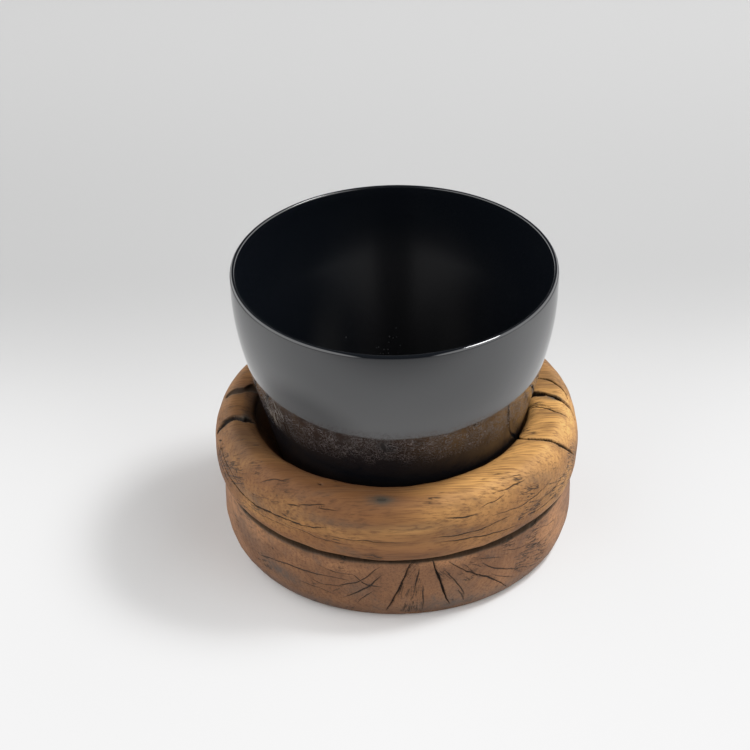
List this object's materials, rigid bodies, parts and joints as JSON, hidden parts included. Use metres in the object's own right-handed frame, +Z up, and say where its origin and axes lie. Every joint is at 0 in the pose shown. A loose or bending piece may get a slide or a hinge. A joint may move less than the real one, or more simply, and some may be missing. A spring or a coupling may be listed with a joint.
{
  "type": "bowl on a timber ring stand",
  "caption": "Deep round bowl with a glossy black lacquer finish, resting in a stand of stacked weathered timber rings; the bowl lifts straight out.",
  "frame": {"origin": "on the floor under the middle of the stand", "axes": "+Z up along the bowl's axis, -Y towards the viewer, +X to the viewer's right"},
  "size_m": [0.3426, 0.3426, 0.28],
  "materials": {
    "black_lacquer": "turned hardwood under high-gloss black lacquer, fine scratches low on the outside",
    "golden_timber": "weathered, oiled hardwood with open drying cracks, grain from side to side",
    "ruddy_timber": "weathered reddish hardwood, grain from front to back, radial cracks in the end grain",
    "dowel_timber": "plain pale hardwood dowel"
  },
  "bodies": {
    "stand": {"upper_ring": "golden_timber", "lower_ring": "ruddy_timber", "dowel_back_right": "dowel_timber", "dowel_back_left": "dowel_timber", "dowel_front_left": "dowel_timber", "dowel_front_right": "dowel_timber"},
    "bowl": {"bowl": "black_lacquer"}
  },
  "joints": [
    {"name": "bowl_lift", "type": "slide", "parent": "stand", "child": "bowl", "axis": [0, 0, 1], "range_m": [0, 0.125]}
  ]
}
